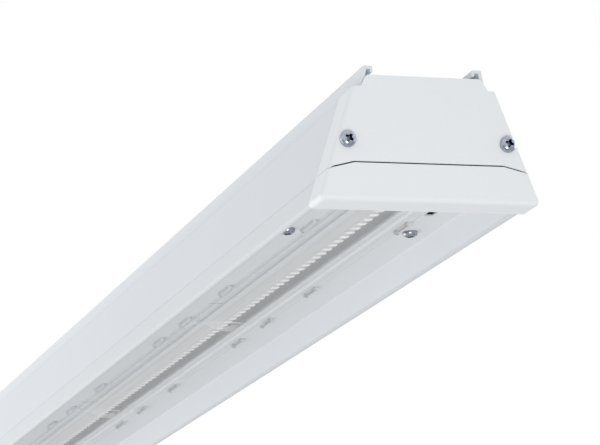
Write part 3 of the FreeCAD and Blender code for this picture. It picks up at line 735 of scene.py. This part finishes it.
class LUMINAIRE_OT_clips(bpy.types.Operator):
    """Makes the clips that hold the lenses, each with a nib at either end and an open gap between them"""

    bl_idname = "luminaire.clips"
    bl_label = "Lens clips"

    def places(self, sizes):
        """Middles of the clips along Y: on each joint, and twice along each lens."""
        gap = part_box("lens_2")[0].y - LENS_HIGH.y
        starts = [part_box(f"lens_{number}")[0].y - gap / 2 for number in MODULES]
        middles = starts[1:]
        for start in starts:
            middles += [start + sizes.clip_after_joint, start + MODULE - sizes.clip_before_joint]
        return middles

    def clip(self, sizes):
        """One clip on the right of a lens, about Y zero."""
        low, high, outer = CLIP_LOW.z, CLIP_HIGH.z, CLIP_HIGH.x
        stem = LENS_HIGH.x + sizes.clip_gap
        back = stem + sizes.clip_wall
        seat = LENS_HIGH.z
        barb = high - sizes.clip_barb
        nib_z = (seat + low) / 2
        half, nib = sizes.clip_length / 2, sizes.nib_length
        ramp = sizes.nib_height / 2
        outline = [
            (stem, low), (outer, low), (outer, seat), (back, seat), (back, barb), (outer, barb),
            (stem, high), (stem, nib_z + ramp), (stem, nib_z), (stem, nib_z - ramp),
        ]
        bm = bmesh.new()
        face = bm.faces.new([bm.verts.new((x, -half, z)) for x, z in outline])
        for step in (nib, ramp, 2 * (half - nib - ramp), ramp, nib):
            grown = bmesh.ops.extrude_face_region(bm, geom=[face, *face.edges])["geom"]
            face = next(item for item in grown if isinstance(item, bmesh.types.BMFace))
            bmesh.ops.translate(bm, verts=face.verts, vec=(0.0, step, 0.0))
        ridge = [
            vert for vert in bm.verts
            if abs(vert.co.z - nib_z) < NEAR and abs(vert.co.y) > half - nib - ramp / 2
        ]
        bmesh.ops.translate(bm, verts=ridge, vec=(-sizes.nib_reach, 0.0, 0.0))
        bmesh.ops.recalc_face_normals(bm, faces=bm.faces)
        shown = [
            edge for edge in bm.edges
            if all(abs(vert.co.z - low) < NEAR for vert in edge.verts) and edge.calc_face_angle(0.0) > SQUARE
        ]
        bmesh.ops.bevel(
            bm, geom=shown, offset=sizes.clip_edge, affect="EDGES", segments=3, profile=0.5, material=-1)
        # Painted shade: the lower faces turned to the lens, in the gap, take the dark material 1.
        for face in bm.faces:
            if face.normal.x < -TO_LENS and face.calc_center_median().z < nib_z:
                face.material_index = 1
        notch = [
            face for face in bm.faces
            if face.normal.z < -DOWN and face.calc_center_median().y > half - nib
        ]
        rim = sizes.notch_rim
        bmesh.ops.inset_individual(bm, faces=notch, thickness=rim, depth=0.0)
        bmesh.ops.inset_individual(bm, faces=notch, thickness=rim / 2, depth=-sizes.notch_depth)
        # Painted shade: the notch's walls and floor take the dark material 1.
        for face in {face for floor in notch for edge in floor.edges for face in edge.link_faces}:
            face.material_index = 1
        return bm

    def execute(self, context):
        sizes = context.scene.luminaire_sizes
        clips = []
        for middle in self.places(sizes):
            for side in (-1.0, 1.0):
                bm = self.clip(sizes)
                bmesh.ops.scale(bm, verts=bm.verts, vec=(side, 1.0, 1.0))
                bmesh.ops.translate(bm, verts=bm.verts, vec=(0.0, middle, 0.0))
                bmesh.ops.recalc_face_normals(bm, faces=bm.faces)
                clips.append(bm)
        # A darker copy of the clip's nylon, which is painted shade for the gap and the notches.
        inside = moulded("clip_painted_shade", context.scene.luminaire_colours.clip_painted_shade, dull=0.5)
        materials = [finishes()["clip_plastic"], inside]
        finished(gathered(clips), "lens_clip_set", "lens_clips", "clip_plastic", materials)
        return {"FINISHED"}


class LUMINAIRE_OT_grommet(bpy.types.Operator):
    """Makes the closed cable grommet in the top web"""

    bl_idname = "luminaire.grommet"
    bl_label = "Cable grommet"

    def execute(self, context):
        sizes = context.scene.luminaire_sizes
        low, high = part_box("cable_grommet")
        middle = (low + high) / 2
        rim = (high.x - low.x) / 2
        neck, edge = sizes.grommet_neck, sizes.grommet_edge
        web = high.z - sizes.grommet_flange
        skin = web + 0.2 * sizes.grommet_flange
        crest = high.z - 0.3 * sizes.grommet_flange
        profile = [
            (0.0, skin - edge), (3 * edge, skin - edge), (5 * edge, skin),
            (0.3 * neck, skin), (0.34 * neck, crest), (0.42 * neck, crest), (0.46 * neck, skin),
            (0.62 * neck, skin), (0.72 * neck, high.z - edge), (0.76 * neck, high.z),
            (0.9 * rim, high.z), (0.96 * rim, high.z - 1.5 * edge), (rim, web + 3 * edge), (rim, web),
            (neck, web), (neck, low.z + 2 * edge), (neck - 2.5 * edge, low.z), (0.0, low.z),
        ]
        bm = bmesh.new()
        turned(bm, profile, steps=48)
        bmesh.ops.recalc_face_normals(bm, faces=bm.faces)
        bmesh.ops.translate(bm, verts=bm.verts, vec=(middle.x, middle.y, 0.0))
        finished(bm, "grommet", "cable_grommet", "grommet_rubber")
        return {"FINISHED"}


class LUMINAIRE_OT_screws(bpy.types.Operator):
    """Makes the end cap screws and the tray screws"""

    bl_idname = "luminaire.screws"
    bl_label = "Screws"

    def execute(self, context):
        sizes = context.scene.luminaire_sizes
        # A darker copy of the zinc, painted shade for the cross recesses.
        recess = zinc_plate("screw_recess_painted_shade", context.scene.luminaire_colours.recess)
        materials = [finishes()["zinc_screw"], recess]
        radius, shank, seat = sizes.screw_head_radius, sizes.screw_shank_radius, sizes.screw_seat_radius
        corners = [(end, side) for end in (-1, 1) for side in (-1, 1)]

        low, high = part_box("end_cap_screws")
        height, depth = sizes.cap_screw_height, sizes.cap_screw_depth
        screws = []
        for end, side in corners:
            place = Vector((side * (high.x - seat), end * (high.y - height), (low.z + high.z) / 2))
            out = Matrix.Rotation(-end * math.pi / 2, 4, "X")
            turn = math.radians(CAP_SCREW_TURN + CAP_SCREW_TURN_SIDE * side * end)
            matrix = Matrix.Translation(place) @ out @ Matrix.Rotation(turn, 4, "Z")
            screws.append(screw(matrix, radius, height, shank, depth))
        finished(gathered(screws), "cap_screws", "end_cap_screws", "zinc_screw", materials)

        low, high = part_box("tray_screws")
        height, depth = sizes.tray_screw_height, sizes.tray_screw_depth
        screws = []
        for end, side in corners:
            place = Vector((side * (high.x - seat), end * (high.y - seat), low.z + height))
            out = Matrix.Rotation(math.pi, 4, "X")
            turn = math.radians(TRAY_SCREW_TURN + TRAY_SCREW_TURN_SIDE * side + TRAY_SCREW_TURN_END * end)
            matrix = Matrix.Translation(place) @ out @ Matrix.Rotation(turn, 4, "Z")
            screws.append(screw(matrix, radius, height, shank, depth))
        finished(gathered(screws), "reflector_screws", "tray_screws", "zinc_screw", materials)
        return {"FINISHED"}


class LUMINAIRE_OT_stage(bpy.types.Operator):
    """Makes the floor, the light and the camera"""

    bl_idname = "luminaire.stage"
    bl_label = "Stage"

    def floor(self, stage):
        bm = bmesh.new()
        bmesh.ops.create_grid(bm, x_segments=1, y_segments=1, size=FLOOR_HALF)
        bmesh.ops.translate(bm, verts=bm.verts, vec=(0.0, 0.0, -stage.floor_drop))
        mesh = bpy.data.meshes.new("floor")
        bm.to_mesh(mesh)
        bm.free()
        finish = Finish("floor_paint", {"Roughness": 0.8})
        finish.feed("Base Color", finish.mix(finish.noise(scale=2.0), FLOOR_GREY, FLOOR_PALE))
        mesh.materials.append(finish.material)
        floor = bpy.data.objects.new("floor", mesh)
        bpy.context.scene.collection.objects.link(floor)

    def sky(self, stage):
        """Even light that shows as plain white to the camera, in reflections and through the lenses."""
        world = bpy.data.worlds.new("studio")
        bpy.context.scene.world = world
        world.use_nodes = True
        nodes = Nodes(world.node_tree)
        seen = nodes.add("ShaderNodeLightPath", {}, {}, "Is Camera Ray")
        seen = seen + nodes.add("ShaderNodeLightPath", {}, {}, "Is Glossy Ray")
        seen = seen + nodes.add("ShaderNodeLightPath", {}, {}, "Is Transmission Ray")
        lit = nodes.add("ShaderNodeBackground", {}, {"Color": WHITE, "Strength": stage.sky})
        white = nodes.add("ShaderNodeBackground", {}, {"Color": WHITE, "Strength": 1.0})
        mixed = nodes.add("ShaderNodeMixShader", {}, {0: seen.clamped(), 1: lit, 2: white})
        world.node_tree.links.new(mixed.socket, world.node_tree.nodes["World Output"].inputs["Surface"])

    def lamp(self, name, power):
        place, aim, size = LAMPS[name]
        data = bpy.data.lights.new(name, "AREA")
        data.size = size
        data.energy = power
        lamp = bpy.data.objects.new(name, data)
        bpy.context.scene.collection.objects.link(lamp)
        lamp.visible_camera = False
        lamp.location = place
        lamp.rotation_euler = (Vector(aim) - Vector(place)).to_track_quat("-Z", "Y").to_euler()

    def camera(self, stage):
        data = bpy.data.cameras.new("camera")
        data.lens = stage.camera_lens
        data.sensor_width = SENSOR_WIDTH
        camera = bpy.data.objects.new("camera", data)
        bpy.context.scene.collection.objects.link(camera)
        camera.matrix_world = (
            Matrix.Translation(stage.camera_place)
            @ Matrix.Rotation(-stage.camera_yaw, 4, "Z")
            @ Matrix.Rotation(math.pi / 2 + stage.camera_pitch, 4, "X")
            @ Matrix.Rotation(stage.camera_roll, 4, "Z"))
        bpy.context.scene.camera = camera

    def execute(self, context):
        stage = context.scene.luminaire_stage
        context.scene.view_settings.view_transform = "Standard"
        self.floor(stage)
        self.sky(stage)
        self.lamp("front_lamp", stage.front_lamp)
        self.lamp("left_lamp", stage.left_lamp)
        self.lamp("right_lamp", stage.right_lamp)
        self.camera(stage)
        return {"FINISHED"}


class LUMINAIRE_PT_sidebar(bpy.types.Panel):
    """Lists the luminaire's pieces in the sidebar"""

    bl_idname = "LUMINAIRE_PT_sidebar"
    bl_label = "Luminaire"
    bl_space_type = "VIEW_3D"
    bl_region_type = "UI"
    bl_category = "Luminaire"

    def draw(self, context):
        for operator in OPERATORS:
            self.layout.operator(operator.bl_idname)


GROUPS = {
    "luminaire_sizes": LuminaireSizes,
    "luminaire_colours": LuminaireColours,
    "luminaire_stage": LuminaireStage,
}
OPERATORS = (
    LUMINAIRE_OT_coats,
    LUMINAIRE_OT_lenses,
    LUMINAIRE_OT_leds,
    LUMINAIRE_OT_clips,
    LUMINAIRE_OT_grommet,
    LUMINAIRE_OT_screws,
    LUMINAIRE_OT_stage,
)


def register():
    for group in GROUPS.values():
        bpy.utils.register_class(group)
    for operator in OPERATORS:
        bpy.utils.register_class(operator)
    bpy.utils.register_class(LUMINAIRE_PT_sidebar)
    for name, group in GROUPS.items():
        setattr(bpy.types.Scene, name, bpy.props.PointerProperty(type=group))


def unregister():
    for name in GROUPS:
        delattr(bpy.types.Scene, name)
    bpy.utils.unregister_class(LUMINAIRE_PT_sidebar)
    for operator in reversed(OPERATORS):
        bpy.utils.unregister_class(operator)
    for group in GROUPS.values():
        bpy.utils.unregister_class(group)


def main():
    register()
    bpy.ops.luminaire.coats()
    bpy.ops.luminaire.lenses()
    bpy.ops.luminaire.leds()
    bpy.ops.luminaire.clips()
    bpy.ops.luminaire.grommet()
    bpy.ops.luminaire.screws()
    bpy.ops.luminaire.stage()


if __name__ == "__main__":
    main()
